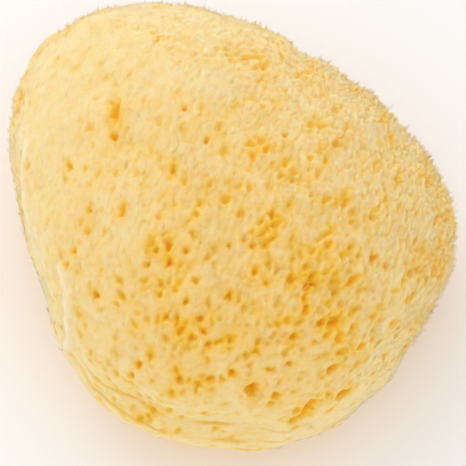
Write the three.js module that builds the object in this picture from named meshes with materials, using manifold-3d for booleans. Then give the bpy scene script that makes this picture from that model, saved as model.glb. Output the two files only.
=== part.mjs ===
// A natural bath sponge: one domed cushion of soft fibre that grew on a rock.
// It was cut off flat where it was attached, and rests on that cut.
// Its fine pores and fibre tufts are far smaller than this solid's triangles and are not part of it.

import * as THREE from "three";
import { mergeVertices } from "three/addons/utils/BufferGeometryUtils.js";
import Module from "manifold-3d";

// Driving dimensions, in millimetres. +X is the sponge's right, +Y its back and +Z up.
const HALF_WIDTH = 65; // centre to side, before the swellings
const HALF_DEPTH = 67.5; // centre to front or back, before the swellings
const CROWN = 45; // widest girth up to the top
const GIRTH_HEIGHT = 30; // cut base up to the widest girth
const ROUNDNESS = 2.25; // 2 is an ellipsoid; more gives a flatter top and a quicker turn at the rim
const SURFACE_DETAIL = 17; // each of the ball's 20 faces becomes (detail + 1) squared triangles

// Broad swellings and hollows of the dome, by where they face:
// bearing is degrees anticlockwise from the right, tilt is degrees above the girth,
// spread is how many degrees they reach, and rise is in millimetres.
const SWELLINGS = [
  { name: "left shoulder", bearing: 130, tilt: 0, spread: 30, rise: 15 },
  { name: "right nose", bearing: -2, tilt: -5, spread: 24, rise: 6.5 },
  { name: "back right saddle", bearing: 54, tilt: 10, spread: 32, rise: -6 },
  { name: "left flank hollow", bearing: 197, tilt: -5, spread: 28, rise: -8 },
  { name: "front right cheek", bearing: 300, tilt: -10, spread: 24, rise: 3.5 },
  { name: "shoulder top", bearing: 128, tilt: 48, spread: 26, rise: 3 },
  { name: "right brow", bearing: 330, tilt: 45, spread: 24, rise: 3 },
  { name: "crown dip", bearing: 70, tilt: 62, spread: 20, rise: -2.5 },
  { name: "front knoll", bearing: 235, tilt: 58, spread: 18, rise: 2 },
  { name: "back foot hollow", bearing: 100, tilt: -24, spread: 18, rise: -3 },
  { name: "right foot bulge", bearing: 24, tilt: -20, spread: 16, rise: 2.5 },
];

// Folds run over the dome from one facing direction to another, with a soft bell-shaped section.
const FOLDS = [
  { name: "left flank ridge", from: [162, 20], to: [214, 26], spread: 6.5, rise: 1.8 },
  { name: "front crease", from: [246, 10], to: [278, 5], spread: 4, rise: -2.6 },
  { name: "front lip", from: [236, 0], to: [282, -5], spread: 5, rise: 1.8 },
  { name: "back notch", from: [66, 4], to: [60, 38], spread: 4, rise: -2.2 },
];

const toRadians = THREE.MathUtils.degToRad;

function facing(bearing, tilt) {
  const level = Math.cos(toRadians(tilt));
  return new THREE.Vector3(
    level * Math.cos(toRadians(bearing)),
    level * Math.sin(toRadians(bearing)),
    Math.sin(toRadians(tilt)),
  );
}

function bell(angle, spread) {
  return Math.exp(-((angle / toRadians(spread)) ** 2));
}

// The plain dome: a rounded ball, wider than it is tall.
function domeRadius(direction) {
  const outward = Math.hypot(direction.x / HALF_WIDTH, direction.y / HALF_DEPTH);
  const upward = Math.abs(direction.z) / CROWN;
  return (outward ** ROUNDNESS + upward ** ROUNDNESS) ** (-1 / ROUNDNESS);
}

const swellings = SWELLINGS.map(({ bearing, tilt, spread, rise }) => {
  const middle = facing(bearing, tilt);
  return (direction) => rise * bell(direction.angleTo(middle), spread);
});

const folds = FOLDS.map(({ from, to, spread, rise }) => {
  const line = new THREE.Line3(facing(...from), facing(...to));
  const nearest = new THREE.Vector3();
  return (direction) => {
    line.closestPointToPoint(direction, true, nearest);
    return rise * bell(direction.angleTo(nearest), spread);
  };
});

function spongeRadius(direction) {
  return [...swellings, ...folds].reduce((radius, shape) => radius + shape(direction), domeRadius(direction));
}

// The grown body, before it was cut from the rock.
function grownBody() {
  const ball = new THREE.IcosahedronGeometry(1, SURFACE_DETAIL);
  const places = ball.attributes.position;
  const direction = new THREE.Vector3();
  for (let i = 0; i < places.count; i += 1) {
    direction.fromBufferAttribute(places, i).normalize();
    const place = direction.clone().multiplyScalar(spongeRadius(direction));
    places.setXYZ(i, place.x, place.y, place.z + GIRTH_HEIGHT);
  }
  return ball;
}

const wasm = await Module();
wasm.setup();

function toSolid(geometry) {
  const bare = geometry.clone();
  bare.deleteAttribute("normal");
  bare.deleteAttribute("uv");
  const merged = mergeVertices(bare, 1e-4);
  return new wasm.Manifold(new wasm.Mesh({
    numProp: 3,
    vertProperties: new Float32Array(merged.attributes.position.array),
    triVerts: new Uint32Array(merged.index.array),
  }));
}

function toGeometry(solid) {
  const { vertProperties, triVerts } = solid.getMesh();
  const geometry = new THREE.BufferGeometry();
  geometry.setAttribute("position", new THREE.BufferAttribute(new Float32Array(vertProperties), 3));
  geometry.setIndex(new THREE.BufferAttribute(new Uint32Array(triVerts), 1));
  return geometry;
}

// The rock takes everything below the cut.
function rock() {
  const side = 4 * Math.max(HALF_WIDTH, HALF_DEPTH);
  return new THREE.BoxGeometry(side, side, side).translate(0, 0, -side / 2);
}

const cut = toGeometry(toSolid(grownBody()).subtract(toSolid(rock())));

// The origin is on the cut, under the middle of the sponge's outline.
cut.computeBoundingBox();
const middle = cut.boundingBox.getCenter(new THREE.Vector3());
cut.translate(-middle.x, -middle.y, 0);

const sponge = new THREE.Mesh(cut, new THREE.MeshStandardMaterial({
  color: "#f3d08a",
  roughness: 0.9,
  metalness: 0,
}));
sponge.name = "sponge";

const model = new THREE.Group();
model.add(sponge);
export default model;
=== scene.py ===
"""A natural bath sponge: a soft dome of spongin fibre, resting on its cut underside."""

import math

import bpy
import numpy as np
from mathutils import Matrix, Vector, kdtree


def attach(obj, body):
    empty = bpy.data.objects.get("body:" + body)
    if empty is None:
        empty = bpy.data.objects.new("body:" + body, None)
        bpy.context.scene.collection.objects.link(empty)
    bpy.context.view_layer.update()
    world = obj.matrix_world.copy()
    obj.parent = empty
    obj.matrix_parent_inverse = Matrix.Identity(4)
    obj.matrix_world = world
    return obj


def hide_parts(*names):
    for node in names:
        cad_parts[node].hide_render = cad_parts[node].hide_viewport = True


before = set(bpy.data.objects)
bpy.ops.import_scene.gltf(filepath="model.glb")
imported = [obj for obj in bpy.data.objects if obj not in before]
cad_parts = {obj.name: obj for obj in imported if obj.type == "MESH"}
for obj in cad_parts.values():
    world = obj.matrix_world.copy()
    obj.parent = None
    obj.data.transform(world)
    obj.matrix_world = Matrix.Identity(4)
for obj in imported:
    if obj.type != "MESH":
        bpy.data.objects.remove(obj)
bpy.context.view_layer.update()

# ---------------------------------------------------------------------------------------------
# Sponge body: one piece of spongin, a felt of fine fibre that the animal laid down as it grew.
# Its surface stands up in small leaning tufts, with fine pores between them and larger openings
# where its water canals come out. It was cut off its rock, and rests on that flat cut.
# ---------------------------------------------------------------------------------------------
MM = 0.001  # metres; every size and place below is in millimetres
SKIN = 0.25  # how far the felt's surface lies inside the tips of its fibres
MESH_SPACING = 0.5
BODY_TRIANGLES = 195_000
TUFT_SPACING = 1.4  # across the lie of the fibres
TUFT_STRETCH = 3.0  # tufts are this much longer along the lie
LIE_LEFT, LIE_RIGHT = math.radians(84), math.radians(52)  # bearing the fibres lean to, by side
PORE_SPACING = 2.5

# The largest openings: where each comes out (x, y, z), its radius, and its length over its width
CANALS = [
    ((6, -61, 52), 1.9, 1.1), ((30, -43, 61), 1.5, 1.9), ((17, -33, 69), 1.3, 1.3),
    ((23, -62, 42), 1.5, 1.6), ((13, -62, 49), 1.1, 1.2), ((0, -57, 57), 1.2, 1.0),
    ((-6, -58, 55), 1.0, 1.2), ((-15, -58, 54), 1.2, 1.3), ((-27, -53, 53), 1.1, 1.0),
    ((-29, -55, 50), 0.9, 1.0), ((-9, -44, 66), 1.2, 1.0), ((-8, -47, 64), 1.0, 1.1),
    ((-1, -38, 69), 1.2, 1.2), ((-10, -34, 70), 0.9, 1.1), ((-18, -28, 70), 1.2, 1.1),
    ((-24, -28, 69), 0.9, 1.0), ((-39, -34, 60), 1.0, 1.1), ((41, -24, 63), 1.1, 1.3),
    ((45, -25, 60), 0.9, 1.2), ((35, -31, 64), 1.0, 1.8), ((21, -41, 65), 1.1, 1.1),
    ((18, -48, 62), 1.2, 1.2), ((7, -52, 61), 0.9, 1.3), ((11, -56, 56), 0.9, 1.0),
    ((29, -53, 50), 1.2, 1.9), ((33, -58, 40), 1.3, 1.8), ((-7, 9, 75), 0.9, 1.2),
    ((-17, 0, 74), 0.9, 2.2), ((-34, 12, 69), 1.1, 1.1), ((-33, 19, 68), 1.3, 2.0),
    ((-47, 5, 63), 0.9, 1.5), ((-31, -12, 70), 0.9, 2.2), ((-41, -10, 66), 0.8, 1.2),
    ((-46, -21, 61), 0.8, 1.0), ((-14, 19, 73), 0.7, 1.0), ((16, 12, 73), 0.7, 1.0),
    ((23, 4, 73), 0.7, 1.2), ((6, -24, 73), 0.9, 1.1), ((-1, -24, 73), 0.8, 1.0),
    ((-13, -25, 72), 0.9, 1.1), ((-13, -39, 68), 0.9, 1.0), ((-21, -37, 67), 0.8, 1.2),
    ((17, -54, 56), 0.9, 1.1),
]
# The raised seam where the left flank was trimmed, in two stretches
SEAM = [
    [(-62, 17, 55), (-63, 7, 53), (-62, -3, 50), (-61, -10, 48)],
    [(-51, -25, 58), (-48, -32, 57), (-48, -37, 52), (-49, -42, 42), (-50, -43, 32)],
]
SEAM_WIDTH = 1.6
SEAM_HEIGHT = 1.1
LIP_SPACING = 6.3  # between the folded lips low at the front
LIP_HEIGHT = 0.6
CREASE_DEPTH = 0.3


def places_of(mesh):
    """The places of a mesh's vertices, in millimetres."""
    flat = np.empty(3 * len(mesh.vertices))
    mesh.vertices.foreach_get("co", flat)
    return flat.reshape(-1, 3) / MM


def normals_of(mesh):
    flat = np.empty(3 * len(mesh.vertices))
    mesh.vertex_normals.foreach_get("vector", flat)
    return flat.reshape(-1, 3)


def unit(vectors):
    return vectors / np.maximum(np.linalg.norm(vectors, axis=-1, keepdims=True), 1e-9)


def tree_of(places):
    tree = kdtree.KDTree(len(places))
    for index, place in enumerate(places):
        tree.insert(place, index)
    tree.balance()
    return tree


def fade(values):
    """Keeps values between 0 and 1."""
    return np.clip(values, 0, 1)


def drift(places, length, seed):
    """A smooth random field, about -1 to 1, that rises and falls over length millimetres."""
    draw = np.random.default_rng(seed)
    waves = unit(draw.normal(size=(36, 3))) * draw.uniform(0.7, 1.5, (36, 1)) * math.tau / length
    return np.sin(places @ waves.T + draw.uniform(0, math.tau, 36)).sum(1) / 6


def around(places, centre, reach):
    """1 at centre, fading to 0 over reach millimetres."""
    return np.exp(-((places - centre) ** 2).sum(1) / reach ** 2)


def from_line(places, line):
    """How far each place lies from a line through the given points."""
    nearest = np.full(len(places), np.inf)
    for start, end in zip(np.array(line[:-1], float), np.array(line[1:], float)):
        share = fade((places - start) @ (end - start) / ((end - start) @ (end - start)))
        off_line = places - start - share[:, None] * (end - start)
        nearest = np.minimum(nearest, np.linalg.norm(off_line, axis=1))
    return nearest


def well_spaced(places, tree, spacing, seed):
    """Indices of places chosen at random, each at least its own spacing from the rest."""
    chosen = []
    covered = np.zeros(len(places), bool)
    for index in np.random.default_rng(seed).permutation(len(places)):
        if not covered[index]:
            chosen.append(index)
            covered[[near for _, near, _ in tree.find_range(places[index], spacing[index])]] = True
    return np.array(chosen)


def lie_of(places):
    """The level direction that the fibres lean to."""
    share = fade(places[:, 0] / 130 + 0.5)
    bearing = LIE_LEFT + (LIE_RIGHT - LIE_LEFT) * share
    return np.stack([np.cos(bearing), np.sin(bearing), 0 * bearing], 1)


# An even, smooth skin over the CAD shape
bpy.ops.object.select_all(action="DESELECT")
body = bpy.data.objects.new("sponge_body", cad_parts["sponge"].data.copy())
bpy.context.scene.collection.objects.link(body)
bpy.context.view_layer.objects.active = body
body.select_set(True)
bpy.ops.object.mode_set(mode="EDIT")
bpy.ops.mesh.select_all(action="SELECT")
bpy.ops.mesh.remove_doubles(threshold=1e-6)
bpy.ops.object.mode_set(mode="OBJECT")
body.data.materials.clear()
remesh = body.modifiers.new("even mesh", "REMESH")
remesh.mode = "VOXEL"
remesh.voxel_size = MESH_SPACING * MM
bpy.ops.object.modifier_apply(modifier="even mesh")
smooth = body.modifiers.new("no facets", "SMOOTH")
smooth.factor = 0.5
smooth.iterations = 30
bpy.ops.object.modifier_apply(modifier="no facets")

skin = places_of(body.data)
outward = normals_of(body.data)
skin_tree = tree_of(skin)
lie = lie_of(skin)
along = unit(lie - outward * (lie * outward).sum(1, keepdims=True))
across = np.cross(outward, along)
back = skin[:, 1]  # how far back each place is
up = skin[:, 2]  # and how high
grown = fade((up - 0.6) / 2.0)  # 1 on the grown dome, 0 on the cut underside

# Where the surface is open and pored, where it is closed and downy, and where it is shaggy
front_open = around(skin, (4, -28, 62), 42)
off_trim = (skin - (-56, -10, 48)) @ unit(np.array([0.82, 0.25, 0.5]))
trimmed = fade(-off_trim / 4) * (back > -50)
side = fade((56 - up) / 26 + 0.3 * drift(skin, 26, 5)) * fade((back + 50) / 30)
shag = around(skin, (52, 22, 38), 52)
downy = fade(around(skin, (-46, 34, 46), 40) + around(skin, (-62, -14, 32), 28) + trimmed)
downy *= 1 - 0.9 * side
foot = fade((26 - up) / 20)
patchy = drift(skin, 26, 5)
openness = 0.55 + 0.5 * front_open - 0.5 * downy - 0.3 * foot + 0.35 * side + 0.12 * patchy
openness = np.clip(openness, 0.08, 1.05)

# Tufts: each place belongs to its nearest tuft, in a space squeezed along the lie of the fibres
lie_mean = np.array([math.cos(1.1), math.sin(1.1), 0.0])
squeezed = skin - (1 - 1 / TUFT_STRETCH) * (skin @ lie_mean)[:, None] * lie_mean
squeezed = squeezed + 0.3 * np.stack([drift(skin, 3.5, seed) for seed in (11, 12, 13)], 1)
tuft_at = well_spaced(squeezed, tree_of(squeezed), np.full(len(skin), TUFT_SPACING), 21)
tuft_tree = tree_of(squeezed[tuft_at])
nearest_tuft = [tuft_tree.find(place) for place in squeezed]
tuft_of = np.array([index for _, index, _ in nearest_tuft])
reach = np.array([distance for _, _, distance in nearest_tuft]) / TUFT_SPACING
tuft_rise = np.random.default_rng(22).uniform(0.5, 1.2, len(tuft_at))
tuft = fade(1 - reach / 0.95) ** 1.2 * tuft_rise[tuft_of]
valley = fade((reach - 0.5) / 0.4) ** 1.5
relief = (0.13 + 0.26 * shag + 0.03 * front_open - 0.07 * downy + 0.3 * side) * grown

# The trimmed flank's seam, and lips of folded felt round the front of the foot
seam = sum(np.exp(-(from_line(skin, line) / SEAM_WIDTH) ** 2) for line in SEAM)
bearing = np.degrees(np.arctan2(back, skin[:, 0])) % 360
front = fade(1.2 - ((bearing - 254) / 34) ** 2) * fade((44 - up) / 5) * fade((up - 14) / 10)
level = (up + 1.6 * drift(skin, 30, 33) + 0.5 * drift(skin, 8, 34) + 0.1 * (bearing - 254)) / LIP_SPACING
front *= fade(0.6 + 0.7 * drift(skin, 16, 35))
layer = level - np.floor(level)
lip = front * (layer ** 1.5 * fade((1 - layer) / 0.12))
crease = front * (np.exp(-(layer / 0.1) ** 2) + np.exp(-((1 - layer) / 0.06) ** 2))

# The skin moved out and in, and its painted shade: 0, pale, at a fibre's tip, to 1, golden, in a pore
lumps = 0.5 * drift(skin, 24, 31) + 0.22 * drift(skin, 9, 32)
height = grown * lumps + relief * (tuft - 0.9 * valley)
height = height + SEAM_HEIGHT * seam + LIP_HEIGHT * lip - CREASE_DEPTH * crease
moved = skin + outward * (height - SKIN * grown)[:, None]
moved += lie * (0.9 * relief * tuft)[:, None]
# Golden painted shade deepens in the valleys between tufts, in the folds' creases and low on the foot, and
# is paler on tuft tops, lips and the seam, as painted light. The front, the shaggy right side and the paler
# downy left are partly painted light from the back left, partly tone. The drift terms are random tone.
tone_and_shade = 0.37 + 0.1 * front_open - 0.05 * downy + 0.05 * shag + 0.05 * foot
tone_and_shade += (0.05 + 0.42 * (relief - 0.2 * side)) * (valley - tuft) + 0.04 * drift(skin, 7, 51) + 0.03 * patchy
tone_and_shade += 0.3 * crease - 0.12 * lip - 0.3 * seam

# Openings: the main canals, one more on the flank, and fine pores all over the grown surface
draw = np.random.default_rng(42)
pit_at = np.zeros(len(skin))
ragged_rim = 1 + 0.2 * drift(skin, 2.4, 44)


def open_pit(index, radius, stretch, pit_depth, pit_shade, inward):
    """Presses in one opening round a vertex and paints its walls golden: painted shade."""
    turn = draw.normal(0, 0.3)
    long_way = math.cos(turn) * along[index] + math.sin(turn) * across[index]
    short_way = math.cos(turn) * across[index] - math.sin(turn) * along[index]
    near = np.array([i for _, i, _ in skin_tree.find_range(skin[index], radius * stretch * 2.2)])
    offset = skin[near] - skin[index]
    away = np.hypot(offset @ long_way / stretch, offset @ short_way) / radius * ragged_rim[near]
    pit = np.exp(-(away / 0.85) ** 2.6)
    shade_halo = np.exp(-(away / 1.35) ** 2) * min(pit_shade, 1.0)
    pit_at[near] = np.maximum(pit_at[near], pit * pit_shade)
    moved[near] += inward * (pit * pit_depth)[:, None]
    # painted shade: the halo round each opening is pushed towards the golden end of the colour
    tone_and_shade[near] += (1.0 - tone_and_shade[near]) * shade_halo


inward = -outward - 0.25 * lie  # pores slant in under the leaning fibres
canal_at = [skin_tree.find(place)[1] for place, _, _ in CANALS]
for index, (_, radius, stretch) in zip(canal_at, CANALS):
    open_pit(index, 1.15 * radius, stretch, 1.9 * radius, 0.55 + 0.4 * radius, inward[index])
flank_at = np.random.default_rng(45).permutation(len(skin))[0]
radius = draw.uniform(0.9, 1.7)
open_pit(flank_at, radius, draw.uniform(1, 1.6), 1.8 * radius, 0.75, inward[flank_at])
clear_of_canals = np.ones(len(skin), bool)
for index in canal_at:
    clear_of_canals[[i for _, i, _ in skin_tree.find_range(skin[index], 2.8)]] = False
pore_at = well_spaced(skin, skin_tree, PORE_SPACING / np.clip(openness, 0.3, 1.1) ** 0.5, 41)
pore_at = pore_at[(up[pore_at] > 4) & clear_of_canals[pore_at]]
for index in pore_at:
    size = draw.random() ** (2.6 - 0.9 * front_open[index] - 0.6 * side[index])
    open_here = openness[index]
    radius = (0.55 + 0.65 * size) * (0.8 + 0.25 * open_here) * (1 + 0.25 * side[index])
    stretch = draw.uniform(1.0, 1.7) + 0.9 * shag[index]
    # how strongly this pore's walls are painted golden, as painted shade
    pit_shade = (0.1 + 0.95 * size) * (0.25 + 0.75 * open_here)
    pit_shade = pit_shade * (1 - 0.35 * side[index] - 0.2 * shag[index])
    pit_depth = radius * (0.25 + 1.5 * size + 0.7 * side[index]) * open_here
    open_pit(index, radius, stretch, pit_depth, pit_shade, inward[index])

moved[:, 2] = np.maximum(moved[:, 2], 0)
tone_and_shade = fade(tone_and_shade)
body.data.vertices.foreach_set("co", (moved * MM).ravel())
body.data.update()
decimate = body.modifiers.new("fewer faces", "DECIMATE")
decimate.ratio = BODY_TRIANGLES / (2 * len(body.data.polygons))
bpy.ops.object.modifier_apply(modifier="fewer faces")
bpy.ops.object.shade_smooth()
final = places_of(body.data)
moved_tree = tree_of(moved)
source = np.array([moved_tree.find(place)[1] for place in final])  # the vertex each one came from
for name, values in (("tone_and_shade", tone_and_shade), ("shag", shag)):
    attribute = body.data.attributes.new(name, "FLOAT", "POINT")
    attribute.data.foreach_set("value", values[source].astype(np.float32))

# Map of the surface: the dome opened out round its crown, and the cut underside beside it
DOME_CENTRE, DOME_MIDDLE, DOME_SCALE = (0, 0, 20), 0.395, 0.45
CUT_MIDDLE, CUT_SCALE = 0.83, 0.16 / 56
is_cut = (up < 0.3) & (outward[:, 2] < -0.9)
spoke = unit(final - DOME_CENTRE)
polar = np.sqrt((1 - spoke[:, 2]) / 2) / np.maximum(np.hypot(spoke[:, 0], spoke[:, 1]), 1e-6)
dome_map = DOME_MIDDLE + DOME_SCALE * polar[:, None] * spoke[:, :2]
cut_map = CUT_MIDDLE + final[:, :2] * CUT_SCALE
corners = np.empty(len(body.data.loops), int)
body.data.loops.foreach_get("vertex_index", corners)
starts = np.empty(len(body.data.polygons), int)
body.data.polygons.foreach_get("loop_start", starts)
cut_face = np.logical_and.reduceat(is_cut[source][corners], starts)
cut_corner = np.repeat(cut_face, np.diff([*starts, len(corners)]))
on_map = np.where(cut_corner[:, None], cut_map[corners], dome_map[corners])
body.data.uv_layers.new(name="OFBake").data.foreach_set("uv", on_map.ravel())


def linear(code):
    """An sRGB hex colour as linear red, green, blue and alpha."""
    parts = [int(code[i:i + 2], 16) / 255 for i in (1, 3, 5)]
    return [*(c / 12.92 if c <= 0.04045 else ((c + 0.055) / 1.055) ** 2.4 for c in parts), 1.0]


def add_node(tree, kind, settings, **links):
    """Adds a node; settings are its properties or input values, links its inputs by name or place."""
    node = tree.nodes.new(kind)
    for name, value in settings.items():
        if isinstance(name, int) or name in node.inputs:
            node.inputs[name].default_value = value
        else:
            setattr(node, name, value)
    for name, output in links.items():
        socket = int(name[1:]) if name[0] == "_" else name.replace("_", " ")
        tree.links.new(output, node.inputs[socket])
    return node


# Bleached, dried spongin: a matt felt of clear fibres that light soaks into, so that it glows cream
# at the tips. Its colour is painted golden down in the pores, valleys and creases: painted shade for the
# light that scatters deep in the felt. The fibres are combed one way, in streaks 1.5 mm wide; the real ones
# are finer, and are drawn coarser to show.
STREAK = 1.5
LIGHT_SOAKS_IN = 1.7
TIP_TO_SHADED_PORE = [(0.0, "#FFE7C2"), (0.3, "#FFDB9E"), (0.55, "#FFD07A"), (0.8, "#FEC63C"), (1.0, "#FAB20E")]
spongin = bpy.data.materials.new("bleached spongin fibre")
spongin.use_nodes = True
nodes = spongin.node_tree
nodes.nodes.clear()
tone_and_shade_node = add_node(nodes, "ShaderNodeAttribute", {"attribute_name": "tone_and_shade"})
shag_node = add_node(nodes, "ShaderNodeAttribute", {"attribute_name": "shag"})
place_node = add_node(nodes, "ShaderNodeTexCoord", {})
combed = add_node(
    nodes, "ShaderNodeMapping", {"Rotation": (0, 0, -1.08), "Scale": (0.25, 1, 1)},
    Vector=place_node.outputs["Object"])
streaks = add_node(
    nodes, "ShaderNodeTexNoise", {"Scale": 1 / (STREAK * MM), "Detail": 2.0, "Roughness": 0.5},
    Vector=combed.outputs["Vector"])
centred = add_node(nodes, "ShaderNodeMath", {"operation": "SUBTRACT", 1: 0.5}, _0=streaks.outputs["Fac"])
strength = add_node(
    nodes, "ShaderNodeMath", {"operation": "MULTIPLY_ADD", 1: 0.55, 2: 0.25},
    _0=shag_node.outputs["Fac"])
streaked = add_node(
    nodes, "ShaderNodeMath", {"operation": "MULTIPLY_ADD"},
    _0=centred.outputs[0], _1=strength.outputs[0], _2=tone_and_shade_node.outputs["Fac"])
ramp = add_node(nodes, "ShaderNodeValToRGB", {}, Fac=streaked.outputs[0])
for _ in range(len(TIP_TO_SHADED_PORE) - 2):
    ramp.color_ramp.elements.new(0.5)
for element, (position, colour) in zip(ramp.color_ramp.elements, TIP_TO_SHADED_PORE):
    element.position = position
    element.color = linear(colour)
shader = add_node(nodes, "ShaderNodeBsdfPrincipled", {
    "Roughness": 0.9, "IOR": 1.54, "Subsurface Weight": 0.9, "Subsurface Scale": LIGHT_SOAKS_IN * MM,
    "Subsurface Radius": (1.0, 0.5, 0.15), "Specular IOR Level": 0.1,
    "Sheen Weight": 0.25, "Sheen Roughness": 0.6, "Sheen Tint": linear("#FFF0D0"),
}, Base_Color=ramp.outputs["Color"])
add_node(nodes, "ShaderNodeOutputMaterial", {}, Surface=shader.outputs["BSDF"])
body.data.materials.append(spongin)
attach(body, "root")
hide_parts("sponge")

# ---------------------------------------------------------------------------------------------
# Down: the short ends of fibres that stand out all over the felt and lean with its lie. They are
# spongin too, part of the same piece. Each is a thin spike, sorted into three meshes by painted shade:
# more golden the deeper in the felt it starts.
# ---------------------------------------------------------------------------------------------
DOWN_FIBRES = 48_000
DOWN_LENGTH = (0.6, 1.3)
DOWN_WIDTH = (0.035, 0.055)  # half a width; real fibres are 0.02 to 0.05 wide, too fine to show
DOWN_FROM = 2.5  # above the cut
SHADES_FROM_DEPTH = (0.38, 0.52)


def dry_fibre(name, colour):
    """One painted shade of loose, bleached fibre: matt, without a highlight."""
    material = bpy.data.materials.new(name)
    material.use_nodes = True
    solid = material.node_tree.nodes["Principled BSDF"]
    solid.inputs["Base Color"].default_value = linear(colour)
    solid.inputs["Roughness"].default_value = 0.9
    solid.inputs["IOR"].default_value = 1.54
    solid.inputs["Specular IOR Level"].default_value = 0.0
    return material


# Loose spongin fibre, so thin that it has one colour from end to end: those that start low in the
# felt are painted more golden, painted shade for light lost among the fibres, and the outer ones pale.
shades = [
    dry_fibre("pale spongin down", "#FFE2AE"),
    dry_fibre("spongin down", "#FFD890"),
    dry_fibre("golden spongin down, painted shade", "#FFCB6C"),
]


def mesh_from(name, points, faces, normals):
    """Joins many like small shapes, one row of points each, in one mesh."""
    many, corners_each = points.shape[:2]
    mesh = bpy.data.meshes.new(name)
    mesh.vertices.add(many * corners_each)
    mesh.vertices.foreach_set("co", (points * MM).ravel())
    loops = np.concatenate([np.array(face) for face in faces])
    face_starts = np.cumsum([0] + [len(face) for face in faces])[:-1]
    mesh.loops.add(many * len(loops))
    in_order = loops[None] + corners_each * np.arange(many)[:, None]
    mesh.loops.foreach_set("vertex_index", in_order.ravel())
    mesh.polygons.add(many * len(faces))
    in_order = face_starts[None] + len(loops) * np.arange(many)[:, None]
    mesh.polygons.foreach_set("loop_start", in_order.ravel())
    mesh.update(calc_edges=True)
    mesh.validate()
    mesh.shade_smooth()
    mesh.normals_split_custom_set_from_vertices(np.repeat(normals, corners_each, axis=0))
    return mesh


def strands(root, belly, tip, width, facing, ring_widths):
    """Tapered three-sided strands from root to tip, flat side out: their points and faces."""
    axis = unit(tip - root)
    sideways = unit(np.cross(axis, facing))
    upwards = np.cross(sideways, axis)
    points = []
    for ring, ring_width in enumerate(ring_widths):
        t = 0.55 * ring
        middle = (1 - t) ** 2 * root + 2 * t * (1 - t) * belly + t * t * tip
        for wide, high in ((-1, 0), (1, 0), (0, -0.7)):
            points.append(middle + (width * ring_width)[:, None] * (wide * sideways + high * upwards))
    points.append(tip)
    if len(ring_widths) == 2:
        faces = [(2, 1, 0), (0, 1, 4, 3), (1, 2, 5, 4), (2, 0, 3, 5), (3, 4, 6), (4, 5, 6), (5, 3, 6)]
    else:
        faces = [(2, 1, 0), (0, 1, 3), (1, 2, 3), (2, 0, 3)]
    return np.stack(points, 1), faces


def add_by_shade(name, points, faces, normals, fibre_tone_and_shade):
    """Adds strands as three pieces in painted shades, the palest first, by how deep in the felt they start.
    """
    shade_of = np.digitize(fibre_tone_and_shade, SHADES_FROM_DEPTH)
    for number, material in enumerate(shades):
        chosen = shade_of == number
        piece_name = f"{name}_{number + 1}"
        mesh = mesh_from(piece_name, points[chosen], faces, normals[chosen])
        piece = bpy.data.objects.new(piece_name, mesh)
        bpy.context.scene.collection.objects.link(piece)
        piece.data.materials.append(material)
        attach(piece, "root")


body.data.calc_loop_triangles()
triangles = np.empty(3 * len(body.data.loop_triangles), int)
body.data.loop_triangles.foreach_get("vertices", triangles)
triangles = triangles.reshape(-1, 3)
corner = final[triangles]
area = np.linalg.norm(np.cross(corner[:, 1] - corner[:, 0], corner[:, 2] - corner[:, 0]), axis=1) / 2
clear_of_pits = np.clip(1.1 - 2.0 * pit_at[source][triangles].mean(1), 0.0, 1)
share = area * (corner[:, :, 2].mean(1) > DOWN_FROM) * clear_of_pits
share /= share.sum()

draw = np.random.default_rng(61)
picked = draw.choice(len(triangles), DOWN_FIBRES, p=share)
mix = draw.dirichlet((1, 1, 1), DOWN_FIBRES)
root = (corner[picked] * mix[:, :, None]).sum(1)
at = source[triangles[picked, 0]]
heading = unit(0.7 * outward[at] + lie[at] + draw.normal(0, 0.2, root.shape))
length = draw.uniform(*DOWN_LENGTH, DOWN_FIBRES)
width = draw.uniform(*DOWN_WIDTH, DOWN_FIBRES)
points, faces = strands(
    root - outward[at] * 0.1, root, root + heading * length[:, None], width, outward[at], (1.0,))
add_by_shade("velvet", points, faces, unit(outward[at] + 0.25 * heading), tone_and_shade[at])

# ---------------------------------------------------------------------------------------------
# Tufts: longer fibres that the felt frays into, in small bundles that lean and curve with its
# lie, thickest on the shaggy right side and round the open front. Part of the same piece.
# ---------------------------------------------------------------------------------------------
BUNDLE_SPACING = 1.75
BUNDLE_FIBRES = 6
BUNDLE_LENGTH = (1.2, 3.4)
TUFT_WIDTH = (0.03, 0.055)  # half a width, again coarser than the real fibre
TUFT_RING_WIDTHS = (1.0, 0.7)

ragged = np.clip(0.3 + 0.9 * shag + 0.4 * front_open - 0.25 * downy + 0.4 * side, 0.06, 1)
bundle_at = well_spaced(skin, skin_tree, BUNDLE_SPACING / ragged ** 0.5, 71)
bundle_at = bundle_at[(up[bundle_at] > 3) & (pit_at[bundle_at] < 0.3)]
at = np.repeat(bundle_at, BUNDLE_FIBRES)
count = len(at)
long_scatter = draw.normal(0, 0.45, count)
wide_scatter = draw.normal(0, 0.28, count)
root = moved[at] + along[at] * long_scatter[:, None] + across[at] * wide_scatter[:, None]
root = root - outward[at] * 0.15
steep = fade((outward[at] * lie[at]).sum(1))
bundle_length = np.repeat(draw.uniform(*BUNDLE_LENGTH, len(bundle_at)), BUNDLE_FIBRES)
bundle_length = bundle_length * (0.7 + 0.4 * ragged[at])
bundle_length = bundle_length * (1 - 0.5 * steep * (1 - side[at]) - 0.2 * side[at])
heading = (0.4 + 0.2 * side[bundle_at, None]) * outward[bundle_at] + lie[bundle_at]
heading = unit(heading + draw.normal(0, 0.22, (len(bundle_at), 3)))
heading = np.repeat(heading, BUNDLE_FIBRES, axis=0)
length = bundle_length * draw.uniform(0.75, 1.1, count)
tip = moved[at] + heading * length[:, None] + draw.normal(0, 0.14, (count, 3))
tip = tip + 0.3 * (root - moved[at])
belly = (root + tip) / 2 + outward[at] * (0.22 * length)[:, None]
width = draw.uniform(*TUFT_WIDTH, count)
points, faces = strands(root, belly, tip, width, outward[at], TUFT_RING_WIDTHS)
add_by_shade("tufts", points, faces, unit(outward[at] + 0.3 * heading), tone_and_shade[at])

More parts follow.
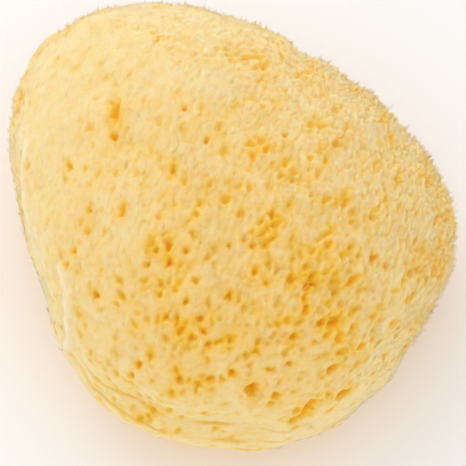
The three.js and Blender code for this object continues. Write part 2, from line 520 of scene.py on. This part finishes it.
# ---------------------------------------------------------------------------------------------
# Floor and light: white paper under a soft white room, brighter from the window at the back left
# ---------------------------------------------------------------------------------------------
FLOOR_WIDTH = 6  # metres, as are the places and sizes below
ROOM_LIGHT = 0.93
WINDOW_PLACE = (-0.35, 0.75, 0.8)
WINDOW_WIDTH = 0.8
WINDOW_POWER = 2.2

bpy.ops.mesh.primitive_plane_add(size=FLOOR_WIDTH)
floor = bpy.context.object
floor.name = "floor"
paper = bpy.data.materials.new("white paper")
paper.use_nodes = True
paper.node_tree.nodes["Principled BSDF"].inputs["Base Color"].default_value = (0.95, 0.95, 0.95, 1)
paper.node_tree.nodes["Principled BSDF"].inputs["Roughness"].default_value = 0.9
floor.data.materials.append(paper)

world = bpy.data.worlds.new("soft white room")
bpy.context.scene.world = world
world.use_nodes = True
world.node_tree.nodes["Background"].inputs["Color"].default_value = (1, 1, 1, 1)
world.node_tree.nodes["Background"].inputs["Strength"].default_value = ROOM_LIGHT

window = bpy.data.objects.new("window light", bpy.data.lights.new("window light", "AREA"))
window.data.size = WINDOW_WIDTH
window.data.energy = WINDOW_POWER
bpy.context.scene.collection.objects.link(window)
window.location = WINDOW_PLACE
window.rotation_euler = (-Vector(WINDOW_PLACE)).to_track_quat("-Z", "Y").to_euler()

# ---------------------------------------------------------------------------------------------
# Camera: a long lens, looking steeply down on the sponge from the front
# ---------------------------------------------------------------------------------------------
ELEVATION = math.radians(68)
LENS = 250
HALF_SENSOR = 18
AIM = np.array([0.0004, -0.0024, 0.0296])
FRAME_WIDTH = 0.1424

camera = bpy.data.objects.new("camera", bpy.data.cameras.new("camera"))
bpy.context.scene.collection.objects.link(camera)
camera.data.lens = LENS
camera.data.clip_start = 0.01
towards_camera = np.array([0, -math.cos(ELEVATION), math.sin(ELEVATION)])
distance = FRAME_WIDTH / 2 / math.tan(math.atan(HALF_SENSOR / LENS))
camera.location = AIM + towards_camera * distance
camera.rotation_euler = (math.pi / 2 - ELEVATION, 0, 0)
bpy.context.scene.camera = camera
bpy.context.scene.view_settings.view_transform = "Standard"
bpy.context.scene.cycles.diffuse_bounces = 8
bpy.context.scene.cycles.max_bounces = 12
